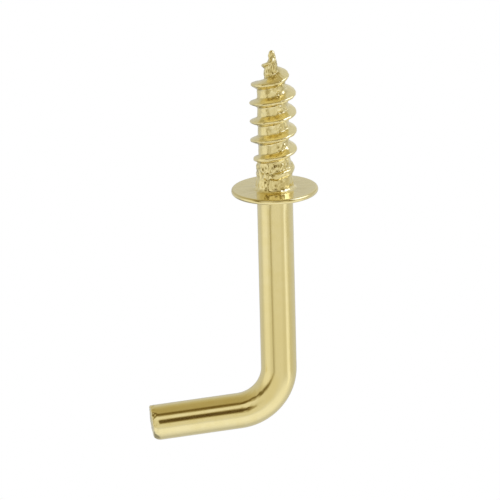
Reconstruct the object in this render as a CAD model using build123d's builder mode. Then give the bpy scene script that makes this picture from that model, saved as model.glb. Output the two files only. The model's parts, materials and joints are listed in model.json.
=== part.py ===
"""Square bend screw hook: one length of wire with a headed collar, a gimlet-point wood screw above it
and a square bend below it.

Millimetres. The origin is the middle of the collar's upper face, which seats against the wood.
+Z runs up the screw to its point, and the leg of the hook reaches out along -X.
"""
import os
from math import ceil, cos, radians, sin, tan

from build123d import *

# Wire, bend and leg
wire_diameter = 3.2
corner_drop = 20.49  # collar seat to the crossing of the rod's and the leg's centrelines
leg_length = 11.75  # that crossing to the cut end
bend_radius = 4.0  # centreline of the bend
bend_opening = 5.2  # degrees by which the bend falls short of a right angle
leg_end_rounding = 0.3

# Collar, headed from the wire
collar_diameter = 7.75
collar_thickness = 0.46
rim_bulge = 0.15  # how far the rounded rim stands out past the collar's flat faces
neck_fillet = 0.25  # between the collar's seat and the neck

# Screw core
screw_length = 12.7
neck_length = 1.9  # plain neck, as thick as the wire
neck_taper_length = 1.1  # from the neck down to the thread's core
point_length = 4.4
point_tip_radius = 0.26

# Thread, right-handed
thread_diameter = 4.16
thread_depth = 0.69
thread_pitch = 1.72
flank_angle = 50  # degrees between the flanks
crest_width = 0.2
ridge_overlap = 0.15  # how deep the ridge is rooted in the core
runout_start = 1.03  # height at which the ridge leaves the inside of the neck
runout_length = 2.3  # height over which it grows to full depth
runout_angle = 177  # degrees from +X towards +Y at which it starts
crest_closing_length = 3.7  # stretch below the tip over which the crest closes in
crest_closing_power = 1.5  # curve of that closing
ridge_end_to_tip = 0.7
sections_per_turn = 8

# Sizes that follow
wire_radius = wire_diameter / 2
collar_radius = collar_diameter / 2
collar_flat_radius = collar_radius - rim_bulge
collar_underside = -collar_thickness
thread_radius = thread_diameter / 2
core_radius = thread_radius - thread_depth
core_start = neck_length + neck_taper_length
point_start = screw_length - point_length
tip_arc_height = screw_length - point_tip_radius


def core_radius_at(height):
    """Radius of the screw without its thread, from the neck to the tip."""
    if height < neck_length:
        return wire_radius
    if height < core_start:
        share = (height - neck_length) / neck_taper_length
        return wire_radius + (core_radius - wire_radius) * share
    if height < point_start:
        return core_radius
    share = (height - point_start) / (tip_arc_height - point_start)
    return core_radius + (point_tip_radius - core_radius) * share


ridge_end = screw_length - ridge_end_to_tip
ridge_turns = (ridge_end - runout_start) / thread_pitch
full_crest_start = runout_start + runout_length
full_crest_end = screw_length - crest_closing_length
# Both ends of the ridge lie inside the core
first_crest_radius = wire_radius - ridge_overlap / 2
last_crest_radius = core_radius_at(ridge_end) - ridge_overlap / 4


def crest_radius_at(height):
    """Radius of the thread's crest, which runs out at the neck and closes in on the point."""
    if height < full_crest_start:
        share = (height - runout_start) / runout_length
        return first_crest_radius + (thread_radius - first_crest_radius) * share
    if height < full_crest_end:
        return thread_radius
    share = (height - full_crest_end) / (ridge_end - full_crest_end)
    return thread_radius + (last_crest_radius - thread_radius) * share**crest_closing_power


with BuildPart() as hook:
    # Collar, neck and screw core, turned about the axis
    with BuildSketch(Plane.XZ) as turned:
        with BuildLine():
            Polyline((0, screw_length), (0, collar_underside), (collar_flat_radius, collar_underside))
            ThreePointArc(
                (collar_flat_radius, collar_underside),
                (collar_radius, collar_underside / 2),
                (collar_flat_radius, 0),
            )
            Polyline(
                (collar_flat_radius, 0),
                (wire_radius, 0),
                (wire_radius, neck_length),
                (core_radius, core_start),
                (core_radius, point_start),
                (point_tip_radius, tip_arc_height),
            )
            RadiusArc((point_tip_radius, tip_arc_height), (0, screw_length), -point_tip_radius)
        make_face()
        fillet(turned.vertices().sort_by_distance((wire_radius, 0))[0], neck_fillet)
    revolve(axis=Axis.Z)

    # Rod, bend and leg: the wire follows its bent centreline down from the collar
    with BuildLine(Plane.XZ) as centreline:
        FilletPolyline(
            (0, collar_underside),
            (0, -corner_drop),
            (
                -leg_length * cos(radians(bend_opening)),
                -corner_drop - leg_length * sin(radians(bend_opening)),
            ),
            radius=bend_radius,
        )
    with BuildSketch(Plane(centreline.line @ 0, z_dir=centreline.line % 0)):
        Circle(wire_radius)
    sweep()
    cut_end = hook.faces().sort_by(Axis.X)[0]
    fillet(cut_end.edges(), leg_end_rounding)

    # Thread: sections in half-planes that climb as they turn, lofted one turn at a time
    loft_count = ceil(ridge_turns)
    for loft_number in range(loft_count):
        for section in range(sections_per_turn + 1):
            turns = ridge_turns * (loft_number + section / sections_per_turn) / loft_count
            height = runout_start + thread_pitch * turns
            angle = radians(runout_angle + 360 * turns)
            outward = (cos(angle), sin(angle), 0)
            backward = (sin(angle), -cos(angle), 0)
            crest = crest_radius_at(height)
            root = core_radius_at(height) - ridge_overlap
            half_crest = crest_width / 2
            half_root = half_crest + (crest - root) * tan(radians(flank_angle / 2))
            with BuildSketch(Plane((0, 0, height), x_dir=outward, z_dir=backward)):
                with BuildLine():
                    Polyline(
                        (root, -half_root),
                        (crest, -half_crest),
                        (crest, half_crest),
                        (root, half_root),
                        close=True,
                    )
                make_face()
        loft()

hook.part.label = "square_bend_hook"
os.makedirs("parts", exist_ok=True)
export_step(hook.part, "parts/square_bend_hook.step")
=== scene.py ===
"""A square bend screw hook, brass plated: its finished surface, a light tent and the camera.

Metres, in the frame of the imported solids: the origin is the middle of the collar's seat, +Z runs up the
screw to its point, and the leg reaches out along -X.
"""
import json
from math import atan, atan2, copysign, cos, pi, radians, sin, sqrt, tan

import bmesh
import bpy
from mathutils import Matrix, Vector, noise
from numpy import interp


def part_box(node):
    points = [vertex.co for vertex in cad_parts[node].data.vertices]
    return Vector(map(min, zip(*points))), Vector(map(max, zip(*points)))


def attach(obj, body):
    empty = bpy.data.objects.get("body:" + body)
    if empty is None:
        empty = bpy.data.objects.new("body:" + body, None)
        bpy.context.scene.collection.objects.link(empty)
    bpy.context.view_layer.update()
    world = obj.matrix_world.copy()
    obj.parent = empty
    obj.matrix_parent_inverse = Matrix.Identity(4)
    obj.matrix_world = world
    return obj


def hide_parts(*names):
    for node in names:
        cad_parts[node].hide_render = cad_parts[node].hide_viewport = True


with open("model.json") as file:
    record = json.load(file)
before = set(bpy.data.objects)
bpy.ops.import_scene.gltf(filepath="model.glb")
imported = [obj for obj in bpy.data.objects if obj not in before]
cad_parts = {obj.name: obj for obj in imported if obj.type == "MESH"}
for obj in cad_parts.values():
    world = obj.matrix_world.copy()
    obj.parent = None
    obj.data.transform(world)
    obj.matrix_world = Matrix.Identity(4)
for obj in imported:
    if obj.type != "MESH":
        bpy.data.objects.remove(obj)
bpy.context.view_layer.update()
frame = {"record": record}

# Collar
# The wire is headed into a thin round collar, which seats against the wood. It is one with the brass wire,
# sits a touch askew, and a dark line of painted shade runs along its upper edge. Fillets lead into the
# flared neck and the rod.
mounts = {mount["name"]: mount for mount in frame["record"]["mounts"]}
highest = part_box("square_bend_hook")[1]
mm = 0.001
segments = 160
arc_steps = 6
wire_radius = mounts["hook_leg"]["dims"]["r_mm"] * mm
collar_radius = min(highest.x, highest.y)
collar_thickness = 0.46 * mm
lean_to_right, lean_to_back = radians(0.6), radians(0.5)
rim_corner, rim_rounding = 0.19 * mm, 0.22 * mm
rim_painted_shade, rim_painted_shade_end, rim_painted_shade_full = 0.6, 0.16 * mm, 0.06 * mm
neck_fillet, neck_flare, flare_end = 0.34 * mm, 0.1 * mm, 1.2 * mm
rod_fillet = 0.1 * mm
edge_support = 0.03 * mm


def spread(start, end, steps):
    """Evenly spaced values after a start, up to and with an end."""
    return [start + (end - start) * step / steps for step in range(1, steps + 1)]


def arc(centre, radius, start, end):
    """Points of an arc in the half-plane through the axis, as (distance from the axis, height)."""
    angles = [radians(angle) for angle in [start] + spread(start, end, arc_steps)]
    return [(centre[0] + radius * cos(angle), centre[1] + radius * sin(angle)) for angle in angles]


def draw(mesh, outline):
    """An outline's vertices and edges, in the half-plane of the +X axis."""
    points = [mesh.verts.new((distance, 0, height)) for distance, height in outline]
    return points + [mesh.edges.new(pair) for pair in zip(points, points[1:])]


def ease(low, high, value):
    """Rises smoothly from 0 at low to 1 at high."""
    share = min(max((value - low) / (high - low), 0), 1)
    return share * share * (3 - 2 * share)


collar_underside = -collar_thickness
neck_start, neck_foot = neck_fillet, wire_radius + neck_flare
fillet_fade = 2 * neck_fillet
rod_start = collar_underside - rod_fillet
outline = arc((neck_foot + neck_fillet, neck_fillet), neck_fillet, 180, 270)
outline += [(neck_foot + neck_fillet + edge_support, 0), (collar_radius - rim_corner - edge_support, 0)]
outline += arc((collar_radius - rim_corner, -rim_corner), rim_corner, 90, 0)
outline += [(collar_radius, -rim_corner - edge_support)]
outline += arc((collar_radius - rim_rounding, collar_underside + rim_rounding), rim_rounding, 0, -90)
outline += [(wire_radius + rod_fillet + edge_support, collar_underside)]
outline += arc((wire_radius + rod_fillet, rod_start), rod_fillet, 90, 180)
hook = bmesh.new()
bmesh.ops.spin(
    hook, geom=draw(hook, outline), axis=(0, 0, 1), angle=2 * pi, steps=segments, use_merge=True
)
# Darkening for the plate: tarnish on the dented cut end, painted shade on the rim, in the creases and along
# the roots
tarnish_and_painted_shade = hook.verts.layers.float.new("tarnish_and_painted_shade")
for point in hook.verts:
    distance = point.co.xy.length
    from_edge = Vector((collar_radius - distance, point.co.z)).length
    # Painted shade: a dark line painted into the colour along the rim's upper edge
    point[tarnish_and_painted_shade] = rim_painted_shade * ease(rim_painted_shade_end, rim_painted_shade_full, from_edge)
    askew = ease(neck_foot, neck_foot + fillet_fade, distance)
    point.co.z += askew * (point.co.x * tan(lean_to_right) + point.co.y * tan(lean_to_back))

# Rod, bend and leg
# The brass wire runs straight down from the collar, is bent nearly square round a former and is sheared
# off at the end of the leg. The former has scuffed the inner side of the bend. The shear has dented the
# end and rolled its lower edge and its front over.
leg = mounts["hook_leg"]
end_past_mount = 0.27 * mm
leg_middle, leg_direction = Vector(leg["pos_m"]), Vector(leg["axis"])
leg_up = Vector((leg_direction.z, 0, -leg_direction.x))
leg_start = leg_middle - leg_direction * leg["dims"]["length_mm"] * mm / 2
leg_end = 2 * leg_middle - leg_start + leg_direction * end_past_mount
corner = leg_middle - leg_direction * leg_middle.x / leg_direction.x
bend_angle = leg_direction.angle(Vector((0, 0, -1)))
bend_tangent = (leg_start - corner).length
bend_radius = bend_tangent / tan(bend_angle / 2)
bend_start = corner.z + bend_tangent
bend_centre = Vector((-bend_radius, 0, bend_start))
bend_end = bend_radius * bend_angle - bend_start
rod_steps, bend_steps, leg_steps = 12, 72, 8
cut_depth, cut_edge, cut_crown, cut_steps = 0.75 * mm, 0.09 * mm, 0.1 * mm, 8
crown_steps, crown_edge_share = 10, 0.97
roll_over, front_roll = 0.36 * mm, 0.2 * mm
dent_size, dent_depth, dent_tarnish = 0.28 * mm, 0.05 * mm, 0.2
scuff_length, scuff_width, scuff_depth = 0.6 * mm, 0.22 * mm, 0.009 * mm
scuff_margin, scuff_fade = 2 * mm, 1.2 * mm
ring_gap = mm / 100
noise_seed = 3


def open_ring(mesh, height):
    """The open edges at about a height."""
    rim = [edge for edge in mesh.edges if edge.is_boundary]
    return [edge for edge in rim if abs(edge.verts[0].co.z - height) < ring_gap]


def carry_on(mesh, ring, steps=1, along=(0, 0, 0), centre=(0, 0, 0), angle=0):
    """Carries an open ring of edges on, straight along a vector or turned about +Y at a centre."""
    made = bmesh.ops.spin(
        mesh,
        geom=ring,
        cent=centre,
        axis=(0, 1, 0),
        angle=angle,
        steps=steps,
        dvec=Vector(along) / steps,
    )
    return [part for part in made["geom_last"] if isinstance(part, bmesh.types.BMEdge)]


def close_end(mesh, ring, middle, direction, stations):
    """Carries a ring on through (reach, radius) stations along a direction and closes it in a point."""
    for reach, radius in stations:
        ring = carry_on(mesh, ring)
        points = list(dict.fromkeys(point for edge in ring for point in edge.verts))
        for point in points:
            outward = point.co - middle
            outward -= direction * outward.dot(direction)
            point.co = middle + direction * reach + outward.normalized() * radius
    bmesh.ops.pointmerge(mesh, verts=points, merge_co=middle + direction * reach)


def laid_out(place):
    """A place on the hook as if the wire were straight: out of the bend, along +Y and down the wire."""
    if place.z > bend_start:
        return Vector((place.x, place.y, -place.z))
    from_centre = place - bend_centre
    turned = atan2(-from_centre.z, from_centre.x)
    if 0 < turned < bend_angle:
        return Vector((from_centre.xz.length - bend_radius, place.y, bend_radius * turned - bend_start))
    past_bend = place - leg_start
    return Vector((-past_bend.dot(leg_up), place.y, bend_end + past_bend.dot(leg_direction)))


cut_start = leg_end - leg_direction * cut_depth
ring = open_ring(hook, rod_start)
ring = carry_on(hook, ring, rod_steps, along=(0, 0, bend_start - rod_start))
ring = carry_on(hook, ring, bend_steps, centre=bend_centre, angle=bend_angle)
ring = carry_on(hook, ring, leg_steps, along=cut_start - leg_start)
side_length = cut_depth - cut_crown - cut_edge
cut_stations = [(reach, wire_radius) for reach in spread(0, side_length, cut_steps)]
for angle in spread(0, pi / 2, cut_steps):
    cut_stations.append((side_length + cut_edge * sin(angle), wire_radius - cut_edge * (1 - cos(angle))))
for share in [crown_edge_share] + [step / crown_steps for step in reversed(range(crown_steps))]:
    cut_stations.append((cut_depth - cut_crown * share**2, (wire_radius - cut_edge) * share))
close_end(hook, ring, cut_start, leg_direction, cut_stations)

# A seed keeps the dents, scuffs and lumps the same in every run
noise.seed_set(noise_seed)
hook.normal_update()
scuff_start = scuff_margin - bend_start
for point in hook.verts:
    out, beside, down = laid_out(point.co)
    past_cut = (point.co - cut_start).dot(leg_direction) / cut_depth
    if past_cut > 0:
        lower_side = ease(-0.2, 1, out / wire_radius)
        front_side = ease(0.2, -0.8, beside / wire_radius)
        point.co += leg_up * roll_over * lower_side * past_cut**2
        point.co.y += front_roll * front_side * past_cut**2
        dent = noise.noise_vector(point.co / dent_size)
        point[tarnish_and_painted_shade] = dent_tarnish * ease(0.1, 0.4, dent.x) * ease(0.1, 0.5, past_cut)
        point.co += dent * dent_depth * ease(0.1, 0.6, past_cut)
    inner_side = ease(0.4, -0.4, out / wire_radius)
    scuffed = inner_side * ease(scuff_start, scuff_start + scuff_fade, down)
    scuffed *= ease(bend_end + scuff_fade, bend_end, down)
    if scuffed > 0:
        streak = noise.noise(Vector((out / scuff_width, beside / scuff_width, down / scuff_length)))
        point.co += point.normal * streak * scuff_depth * scuffed

# Screw
# The thread is rolled into the brass wire above the neck. Its ridge starts bluntly on the neck, keeps its
# height along the core and closes in on a gimlet point. Rolling leaves folds along the crests, lumps on
# the neck, the point and the seam of the dies, and creases that are darkened with painted shade.
screw_length = highest.z
thread_radius = mounts["screw_thread"]["dims"]["r_mm"] * mm
thread_depth, thread_pitch, screw_turns = 0.69 * mm, 1.72 * mm, 9
half_pitch = thread_pitch / 2
core_radius = thread_radius - thread_depth
flank_angle, crest_rounding, root_fillet = radians(25), 0.15 * mm, 0.17 * mm
core_start, core_taper = 1.9 * mm, 1.1 * mm
core_end = core_start + core_taper
point_length, tip_radius, point_hollow = 4.4 * mm, 0.26 * mm, 0.04 * mm
point_start, tip_start = screw_length - point_length, screw_length - tip_radius
shoulder_start, shoulder_end = 8.8 * mm, 10.3 * mm
core_step, step_fade = 0.6 * mm, 1 * mm
runout_start, runout_angle, runout_flat = 1.03 * mm, radians(177), 0.16 * mm
blunt_start, blunt_end, blunt_share = 1.3 * mm, 1.48 * mm, 0.4
swell_start, swell_end = 2.5 * mm, 3.6 * mm
closing_length, ridge_stop, closing_power = 3.7 * mm, 0.7 * mm, 1.5
closing_start, ridge_end = screw_length - closing_length, screw_length - ridge_stop
crest_steps, flank_steps, root_steps, gap_steps = 5, 5, 5, 4
weld = mm / 10000


def core_at(height):
    """Radius of the screw between its ridges."""
    if height < point_start:
        share = min(max((height - core_start) / core_taper, 0), 1)
        flare = neck_flare * ease(flare_end, neck_start, height)
        return wire_radius + (core_radius - wire_radius) * share + flare
    share = min((height - point_start) / (tip_start - point_start), 1)
    cone = core_radius + (tip_radius - core_radius) * share - point_hollow * sin(pi * share) ** 2
    return cone + (core_radius - cone) * ease(shoulder_end, shoulder_start, height)


def ridge_at(height):
    """Height of the ridge over the core."""
    grown = blunt_share * ease(blunt_start, blunt_end, height)
    grown += (1 - blunt_share) * ease(swell_start, swell_end, height)
    crest = wire_radius + (thread_radius - wire_radius) * grown
    closed = min(max((height - closing_start) / (ridge_end - closing_start), 0), 1)
    crest += (core_at(ridge_end) - thread_radius) * closed**closing_power
    if height > ridge_end:
        return 0
    return max(crest - core_at(height), 0) * ease(blunt_start, blunt_end, height)


def ridge_stations(rise, flat):
    """Distances along the axis from the crest: itself, the ends of its rounding and flank, the next gap."""
    rounded = flat + crest_rounding * cos(flank_angle)
    flank_rise = max(rise - crest_rounding * (1 - sin(flank_angle)), 0)
    return 0, rounded, rounded + flank_rise * tan(flank_angle), half_pitch


def ridge_over_core(reach, rise, flat):
    """Height over the core at a distance along the axis from the crest, with a fillet at the root."""
    off_flat = max(reach - flat, 0)
    rounded = crest_rounding * cos(flank_angle)
    if off_flat < rounded:
        over = rise - crest_rounding + sqrt(crest_rounding**2 - off_flat**2)
    else:
        over = rise - crest_rounding * (1 - sin(flank_angle)) - (off_flat - rounded) / tan(flank_angle)
    fillet = max(min(root_fillet, rise / 2), weld)
    return max(over, 0) + max(fillet - abs(over), 0) ** 2 / (4 * fillet)


full_stations = ridge_stations(thread_depth, 0)
crest_end, flank_end = full_stations[1:3]
fillet_end = root_fillet * tan(flank_angle)
crest_angles = [0] + spread(0, pi / 2 - flank_angle, crest_steps)
profile = [crest_rounding * sin(angle) for angle in crest_angles]
profile += spread(crest_end, flank_end - fillet_end, flank_steps)
profile += spread(flank_end - fillet_end, flank_end + fillet_end, root_steps)
profile += spread(flank_end + fillet_end, half_pitch, gap_steps)
profile = [-station for station in reversed(profile[1:])] + profile
first_crest = runout_start - thread_pitch * (runout_angle / (2 * pi) + 1)
screw = bmesh.new()
bmesh.ops.spin(
    screw,
    geom=draw(screw, [(thread_radius, first_crest + station) for station in profile]),
    axis=(0, 0, 1),
    angle=2 * pi,
    steps=segments,
    dvec=(0, 0, thread_pitch / segments),
)
first_turn = screw.verts[:] + screw.edges[:] + screw.faces[:]
for turn in range(1, screw_turns):
    copy = bmesh.ops.duplicate(screw, geom=first_turn)["geom"]
    points = [part for part in copy if isinstance(part, bmesh.types.BMVert)]
    bmesh.ops.translate(screw, verts=points, vec=(0, 0, thread_pitch * turn))
bmesh.ops.remove_doubles(screw, verts=screw.verts, dist=weld)

lump_size, lump_height = 0.5 * mm, 0.16 * mm
wander_size, wander = 0.7 * mm, 0.04 * mm
fold_length, fold_width, fold_height, fold_drift = 0.9 * mm, 0.19 * mm, 0.034 * mm, 0.5
seam_angle, seam_inner, seam_outer = radians(-58), radians(12), radians(42)
swirl_start, swirl_end, swirl_fade = 1 * mm, 2.6 * mm, 0.4 * mm
smooth_share, neck_share, ridge_lump_share, ridge_wander_share = 0.25, 0.45, 0.2, 0.5
worked_start, tip_fade, lumpy_point = 0.7 * mm, 0.3 * mm, 2 * mm
full_ridge = 0.3 * mm
root_painted_shade, root_reach, root_rise_start, root_rise_end = 0.7, 1.5 * fillet_end, 0.1 * mm, 0.3 * mm


def lumps_at(place):
    """How far a lump stands up at a place, from 0 in the creases to about 1."""
    return noise.turbulence(place / lump_size, 2, True)


def crease(lumps):
    """1 in the creases between lumps, 0 on the lumps."""
    return 1 - ease(0.05, 0.35, lumps)


screw_painted_shade = screw.verts.layers.float.new("tarnish_and_painted_shade")
for point in screw.verts:
    # The ridge and the core, each at its true height
    angle = atan2(point.co.y, point.co.x)
    climb = (point.co.z - first_crest) / thread_pitch - angle / (2 * pi)
    off_crest = (climb + 0.5) % 1 * thread_pitch - half_pitch
    crest_height = point.co.z - off_crest
    rise = ridge_at(crest_height)
    flat = runout_flat * (1 - ease(blunt_end, swell_end, crest_height))
    stations = ridge_stations(rise, flat)
    reach = float(interp(abs(off_crest), full_stations, stations))
    from_crest = copysign(reach, off_crest)
    height = min(max(crest_height + from_crest, neck_start), tip_start)
    over = ridge_over_core(reach, rise, flat)
    # On the point the core stays level between two ridges and steps down under each
    levelled = ease(core_end, point_start, crest_height)
    levelled *= ease(ridge_end, ridge_end - step_fade, crest_height)
    level = crest_height + copysign(half_pitch * ease(0, core_step, reach), off_crest)
    level = min(height + (level - height) * levelled, tip_start)
    outward = Vector((cos(angle), sin(angle), 0))
    spot = outward * (core_at(level) + over) + Vector((0, 0, height))
    # Where the rolling has left lumps
    on_ridge = ease(0, full_ridge, over)
    short_of_tip = ease(tip_start, tip_start - tip_fade, height)
    past_neck = ease(swirl_start, swirl_start + swirl_fade, height)
    in_seam = ease(seam_outer, seam_inner, abs(angle - seam_angle)) * past_neck
    in_swirl = neck_share + (1 - neck_share) * past_neck
    in_swirl *= ease(swirl_end, swirl_end - swirl_fade, height)
    on_point = ease(point_start, point_start + lumpy_point, height)
    lumpy = short_of_tip * max(smooth_share, in_seam, in_swirl, on_point)
    lumpy *= 1 + (ridge_lump_share - 1) * on_ridge
    lumps = lumps_at(spot)
    # Painted shade in the creases between lumps and along the root above the ridge
    at_root = ease(root_reach, 0, abs(from_crest - stations[2]))
    at_root *= ease(root_rise_start, root_rise_end, rise) * ease(-0.3, 0.3, noise.noise(spot / wander_size))
    point[screw_painted_shade] = max(crease(lumps) * lumpy, root_painted_shade * at_root)
    # Lumps, folds along the crests and an uneven run
    along_fold = outward * (thread_radius + fold_drift * crest_height) / fold_length
    along_fold.z = off_crest / fold_width
    folds = noise.noise(along_fold)
    worked = short_of_tip * ease(neck_start, worked_start, height)
    uneven = wander * worked * (1 + (ridge_wander_share - 1) * on_ridge)
    spot += noise.noise_vector(spot / wander_size) * uneven
    spot += outward * ((lumps - 0.5) * lump_height * lumpy + folds * fold_height * worked * on_ridge)
    spot.z = min(max(spot.z, neck_start), tip_start)
    point.co = spot
bmesh.ops.remove_doubles(screw, verts=screw.verts, dist=weld)
tip_angles = spread(0, pi / 2, arc_steps)
tip_stations = [(tip_radius * sin(angle), tip_radius * cos(angle)) for angle in tip_angles]
tip_ring = open_ring(screw, tip_start)
close_end(screw, tip_ring, Vector((0, 0, tip_start)), Vector((0, 0, 1)), tip_stations)

# The lumps run out over the fillet onto the collar, with painted shade in their creases
for point in hook.verts:
    on_neck = ease(neck_foot + fillet_fade, neck_foot + neck_fillet / 2, point.co.xy.length)
    if point.co.z > collar_underside / 2 and on_neck > 0:
        lumps = lumps_at(point.co)
        lumpy = neck_share * on_neck
        # Painted shade in the creases between the lumps
        point[tarnish_and_painted_shade] = crease(lumps) * lumpy
        point.co.xy += point.co.xy.normalized() * (lumps - 0.5) * lump_height * lumpy
screw_mesh = bpy.data.meshes.new("screw")
screw.to_mesh(screw_mesh)
hook.from_mesh(screw_mesh)
bpy.data.meshes.remove(screw_mesh)

# Plating
# The whole hook is bright brass plate over the bare wire. Collar, wire and screw are one closed surface.
# The plate shows the faint lines of the drawn wire and a grain where the bend has stretched it, is warmer
# low on the rod, is tarnished on the dented cut end and is darkened with painted shade in the creases,
# along the thread's roots and on the collar's upper edge.
seam_weld = mm / 1000
bmesh.ops.remove_doubles(hook, verts=hook.verts, dist=seam_weld)
bmesh.ops.recalc_face_normals(hook, faces=hook.faces)
for face in hook.faces:
    face.smooth = True
hook_mesh = bpy.data.meshes.new("plated_screw_hook")
hook.to_mesh(hook_mesh)
along_wire = hook_mesh.attributes.new("along_wire", "FLOAT_VECTOR", "POINT")
for point in hook_mesh.vertices:
    along_wire.data[point.index].vector = laid_out(point.co)
piece = bpy.data.objects.new("plated_screw_hook", hook_mesh)
bpy.context.scene.collection.objects.link(piece)


class Shade:
    """A socket in a node tree. Arithmetic on it adds Math nodes, and node() adds any other node."""

    def __init__(self, tree, socket=None):
        self.tree = tree
        self.socket = socket

    def node(self, kind, settings=None, inputs=None, output=0):
        """A new node of a kind, with its settings and the values or links of its inputs."""
        made = self.tree.nodes.new("ShaderNode" + kind)
        for name, value in (settings or {}).items():
            setattr(made, name, value)
        for name, value in (inputs or {}).items():
            if isinstance(value, Shade):
                self.tree.links.new(value.socket, made.inputs[name])
            else:
                made.inputs[name].default_value = value
        return Shade(self.tree, made.outputs[output] if made.outputs else None)

    def math(self, operation, *values):
        """A Math node on values or sockets."""
        return self.node("Math", {"operation": operation}, dict(enumerate(values)))

    def __add__(self, other):
        return self.math("ADD", self, other)

    def __radd__(self, other):
        return self.math("ADD", other, self)

    def __sub__(self, other):
        return self.math("SUBTRACT", self, other)

    def __rsub__(self, other):
        return self.math("SUBTRACT", other, self)

    def __mul__(self, other):
        return self.math("MULTIPLY", self, other)

    def __rmul__(self, other):
        return self.math("MULTIPLY", other, self)

    def __truediv__(self, other):
        return self.math("DIVIDE", self, other)

    def __rtruediv__(self, other):
        return self.math("DIVIDE", other, self)

    def __pow__(self, other):
        return self.math("POWER", self, other)

    def __rpow__(self, other):
        return self.math("POWER", other, self)

    def __abs__(self):
        return self.math("ABSOLUTE", self)

    def ease(self, low, high):
        """Rises smoothly from 0 at low to 1 at high."""
        settings = {"interpolation_type": "SMOOTHSTEP"}
        return self.node("MapRange", settings, {"Value": self, "From Min": low, "From Max": high})

    def blend(self, other, share):
        """This value where share is 0, and the other where it is 1."""
        return self + share * (other - self)

    def along(self, direction):
        """How far this vector goes along a direction."""
        return self.node("VectorMath", {"operation": "DOT_PRODUCT"}, {0: self, 1: direction}, "Value")

    def mix(self, colour, other, share):
        """One colour where share is 0, and the other where it is 1."""
        return self.node("Mix", {"data_type": "RGBA"}, {0: share, 6: colour, 7: other}, 2)

    def specks(self, size, stretch=1):
        """Noise of about a size, drawn out along the third axis."""
        scale = (1 / size, 1 / size, 1 / size / stretch)
        scaled = self.node("VectorMath", {"operation": "MULTIPLY"}, {0: self, 1: scale})
        return self.node("TexNoise", None, {"Vector": scaled, "Scale": 1, "Detail": 2})


def new_material(name):
    """An empty material and a Shade to build its nodes from."""
    material = bpy.data.materials.new(name)
    material.use_nodes = True
    material.node_tree.nodes.clear()
    return material, Shade(material.node_tree)


pale_brass, deep_brass = (0.915, 0.808, 0.445, 1), (0.9, 0.785, 0.405, 1)
warm_brass, dark_brass = (0.88, 0.755, 0.365, 1), (0.5, 0.4, 0.14, 1)
warm_share, tarnish_and_shade_share = 0.7, 0.8
warm_start, warm_full, warm_fade = 5 * mm, 14 * mm, 5 * mm
plain_end, rough_start = 0.9 * mm, 1.3 * mm
stretch_start, stretch_full, stretch_end = 1 * mm, 2.5 * mm, 1 * mm
stretch_side = 0.6 * wire_radius
line_width, line_stretch, cloud_size, grain_size = 0.12 * mm, 30, 0.9 * mm, 0.1 * mm
relief_depth, line_relief, thread_relief, stretch_relief = 0.002 * mm, 1.2, 1.5, 2
plain_roughness, cloud_roughness, thread_roughness, stretch_roughness = 0.13, 0.05, 0.03, 0.05
brass_plate, shade = new_material("brass_plate")
on_hook = shade.node("TexCoord", output="Object")
on_wire = shade.node("Attribute", {"attribute_name": "along_wire"}, output="Vector")
tarnish_and_shade = shade.node("Attribute", {"attribute_name": "tarnish_and_painted_shade"}, output="Fac")
out_of_bend, down_wire = on_wire.along((1, 0, 0)), on_wire.along((0, 0, 1))
on_thread = on_hook.along((0, 0, 1)).ease(plain_end, rough_start)
in_bend = down_wire.ease(stretch_start - bend_start, stretch_full - bend_start)
in_bend = in_bend * down_wire.ease(bend_end + stretch_end, bend_end - stretch_end)
stretched = in_bend * out_of_bend.ease(-stretch_side, stretch_side)
low_on_rod = down_wire.ease(warm_start, warm_full) * down_wire.ease(bend_end, bend_end - warm_fade)
drawn_lines = on_wire.specks(line_width, line_stretch)
clouds = on_hook.specks(cloud_size)
grain = on_hook.specks(grain_size)
plate_colour = shade.mix(pale_brass, deep_brass, clouds.ease(0.35, 0.7))
plate_colour = shade.mix(plate_colour, warm_brass, warm_share * low_on_rod)
# Darker brass: painted shade in the creases, along the roots and on the rim edge, and tarnish on the cut
# end
plate_colour = shade.mix(plate_colour, dark_brass, tarnish_and_shade_share * tarnish_and_shade)
relief = drawn_lines * (1 - on_thread) * line_relief
relief = relief + grain * (thread_relief * on_thread + stretch_relief * stretched)
bumps = shade.node("Bump", inputs={"Strength": 1, "Distance": relief_depth, "Height": relief})
roughness = plain_roughness + cloud_roughness * clouds
roughness = roughness + thread_roughness * on_thread + stretch_roughness * stretched
surface = shade.node(
    "BsdfPrincipled",
    inputs={"Base Color": plate_colour, "Metallic": 1, "Roughness": roughness, "Normal": bumps},
)
shade.node("OutputMaterial", inputs={"Surface": surface})
hook_mesh.materials.append(brass_plate)
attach(piece, "root")
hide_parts("square_bend_hook")

# Light tent and floor
# The hook is held in a tent of white cloth, open towards the camera, over a plain white floor. Lamps behind
# the cloth light it unevenly: brightest low in front and at the sides, dimmer and warmer overhead. A dark
# hoop holds the opening, and soft boxes and dark cards stand where the thread and the rim mirror them.
view_azimuth, view_elevation, view_roll = radians(-5.6), radians(17.6), radians(1.39)
ahead = Vector((sin(view_azimuth), -cos(view_azimuth), 0))
aside = Vector((cos(view_azimuth), sin(view_azimuth), 0))
towards_camera = ahead * cos(view_elevation) + Vector((0, 0, sin(view_elevation)))
tent_radius = 0.5
cloth_tone, disc_tone, hoop_tone, opening_tone, gap_tone = 0.64, 0.76, 0.06, 0.08, 0.35
strip_tone, foot_tone, panel_tone, box_tone, card_tone = 1.02, 1.05, 0.7, 1.8, 0.3
green_loss, blue_loss = 0.22, 1.05
hoop_angle = 46.7
tent_cloth, shade = new_material("tent_cloth")
on_tent = shade.node("TexCoord", output="Object")
way = shade.node("VectorMath", {"operation": "NORMALIZE"}, {0: on_tent})
up, front, to_right = way.along((0, 0, 1)), way.along(ahead), way.along(aside)


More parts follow.
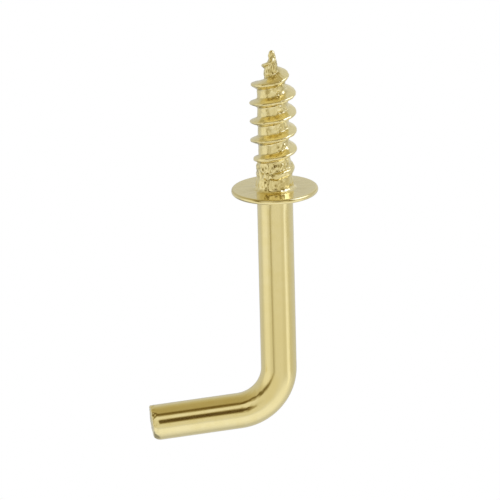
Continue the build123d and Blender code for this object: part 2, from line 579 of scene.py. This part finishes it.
def heading(azimuth, elevation):
    """Direction from the hook, in degrees to the right of the camera and over the horizon."""
    flat_way = ahead * cos(radians(azimuth)) + aside * sin(radians(azimuth))
    return flat_way * cos(radians(elevation)) + Vector((0, 0, sin(radians(elevation))))


def patch(direction, outer, inner=0):
    """1 within the inner angle of a direction, fading to 0 at the outer angle, both in degrees."""
    return way.along(direction).ease(cos(radians(outer)), cos(radians(inner)))


# Cloth behind, overhead and at the sides, the paler disc inside the hoop, and the ground in front
wall = cloth_tone + 0.06 * front.ease(0.2, 0.6) - 0.07 * up.ease(0.45, 0.75) - 0.11 * up.ease(0.7, 1)
left_lamp = patch(heading(-78, -8), 30.7)
near_left_lamp = patch(heading(-51, -18), 16.3)
back_lamp = patch(heading(150, 8), 31.8)
back_shade = patch(heading(185, 24), 31.8, 14.1)
wall = wall + 0.25 * left_lamp + 0.04 * near_left_lamp + 0.18 * back_lamp - 0.02 * back_shade
disc = disc_tone + 0.1 * up.ease(0.35, 0.62)
front_lamp = patch(heading(15, 0), 107.5, 63.3)
ground = cloth_tone + 0.31 * front_lamp - 0.08 * up.ease(-0.8, -0.97)
hoop_middle = heading(-3, 17)
tone = wall.blend(disc, patch(hoop_middle, 53.1, 45.6))
tone = tone.blend(ground, up.ease(-0.36, -0.56))

# A lit strip low on the right, its brighter foot, the panel behind, the soft box and the dark card
strip_end, strip_foot = heading(60, -17.6), heading(76, -28)
off_strip = abs(way.along(strip_foot.cross(strip_end).normalized()))
strip = (1 - off_strip.ease(0.03, 0.13)) * patch((strip_foot + strip_end).normalized(), 19, 10)
bright_foot = patch(heading(74, -26), 9, 5)
back_panel = patch(heading(143, 36), 34, 18)
soft_box = patch(heading(80, 38), 30, 18)
dark_card = patch(heading(-125, -52), 32, 18)
tone = tone.blend(strip_tone, strip).blend(foot_tone, bright_foot).blend(panel_tone, back_panel)
tone = tone.blend(box_tone, soft_box).blend(card_tone, dark_card)

# The hoop, deepest at the top and thinner low down, the opening and the dark gap behind the hook
off_hoop = abs(way.along(hoop_middle) - cos(radians(hoop_angle)))
hoop_width = 0.065 + 0.115 * up.ease(-0.3, 0.3)
hoop = 1 - (off_hoop / hoop_width).ease(0.35, 1)
hoop_height = up - 0.35 * to_right.ease(0, 0.5)
hoop_depth = 0.42 + 0.36 * hoop_height.ease(-0.5, 0.15) + 0.1 * hoop_height
hoop_depth = hoop_depth * hoop_height.ease(-0.6, -0.35)
opening = patch(heading(7, 17), 19, 5)
dark_gap = patch(heading(180, -19), 20, 9)
tone = tone.blend(hoop_tone, hoop * hoop_depth).blend(opening_tone, opening).blend(gap_tone, dark_gap)

# The dimmer cloth is warmer
front_warmth = 0.75 * front.ease(-0.5, 0.3) * up.ease(-0.5, -0.25)
warmth = front_warmth.blend(1, up.ease(0.35, 0.95)).blend(1.05, opening) * (1 - back_panel)
green, blue = tone ** (1 + green_loss * warmth), tone ** (1 + blue_loss * warmth)
cloth_colour = shade.node("CombineColor", inputs={"Red": tone, "Green": green, "Blue": blue})
glow = shade.node("Emission", inputs={"Color": cloth_colour, "Strength": 1})
shade.node("OutputMaterial", inputs={"Surface": glow})
tent_mesh = bpy.data.meshes.new("light_tent")
cloth = bmesh.new()
bmesh.ops.create_icosphere(cloth, subdivisions=4, radius=tent_radius)
cloth.to_mesh(tent_mesh)
tent_mesh.materials.append(tent_cloth)
tent = bpy.data.objects.new("light_tent", tent_mesh)
tent.visible_camera = False
bpy.context.scene.collection.objects.link(tent)

floor_radius, floor_drop, floor_sides = 6, 0.55, 64
floor_mesh = bpy.data.meshes.new("floor")
paper_sheet = bmesh.new()
bmesh.ops.create_circle(paper_sheet, cap_ends=True, segments=floor_sides, radius=floor_radius)
bmesh.ops.translate(paper_sheet, verts=paper_sheet.verts, vec=(0, 0, -floor_drop))
paper_sheet.to_mesh(floor_mesh)
floor = bpy.data.objects.new("floor", floor_mesh)
bpy.context.scene.collection.objects.link(floor)
white_floor, shade = new_material("white_floor")
ray_kinds = ("Is Camera Ray", "Is Glossy Ray", "Is Transmission Ray")
seen, glossy, transmitted = [shade.node("LightPath", output=kind) for kind in ray_kinds]
as_background = shade.math("MAXIMUM", shade.math("MAXIMUM", seen, glossy), transmitted)
paper = shade.node("BsdfDiffuse", inputs={"Color": (0.9, 0.9, 0.9, 1)})
white = shade.node("Emission", inputs={"Color": (1, 1, 1, 1), "Strength": 1})
floor_surface = shade.node("MixShader", inputs={0: as_background, 1: paper, 2: white})
shade.node("OutputMaterial", inputs={"Surface": floor_surface})
floor_mesh.materials.append(white_floor)

world = bpy.data.worlds.new("studio")
world.use_nodes = True
world.node_tree.nodes["Background"].inputs["Color"].default_value = (1, 1, 1, 1)
world.node_tree.nodes["Background"].inputs["Strength"].default_value = 1
bpy.context.scene.world = world

# Camera
# It looks down on the hook from a little to the left and is tipped slightly to one side. It is moved
# sideways until the middle of the collar's seat falls on its pixel of the picture.
view_distance = 0.6
picture_size = 500
pixels_per_metre = 11220
seat_pixel = Vector((274.7, 187.31))
camera_data = bpy.data.cameras.new("camera")
camera_data.angle = 2 * atan(picture_size / 2 / pixels_per_metre / view_distance)
camera_data.clip_start = 0.01
camera = bpy.data.objects.new("camera", camera_data)
bpy.context.scene.collection.objects.link(camera)
camera_turn = (-towards_camera).to_track_quat("-Z", "Y").to_matrix() @ Matrix.Rotation(-view_roll, 3, "Z")
right, upward = camera_turn.col[0], camera_turn.col[1]
from_middle = seat_pixel - Vector((picture_size, picture_size)) / 2
target = (upward * from_middle.y - right * from_middle.x) / pixels_per_metre
camera.matrix_world = Matrix.Translation(target + towards_camera * view_distance) @ camera_turn.to_4x4()
bpy.context.scene.camera = camera
bpy.context.scene.view_settings.view_transform = "Standard"
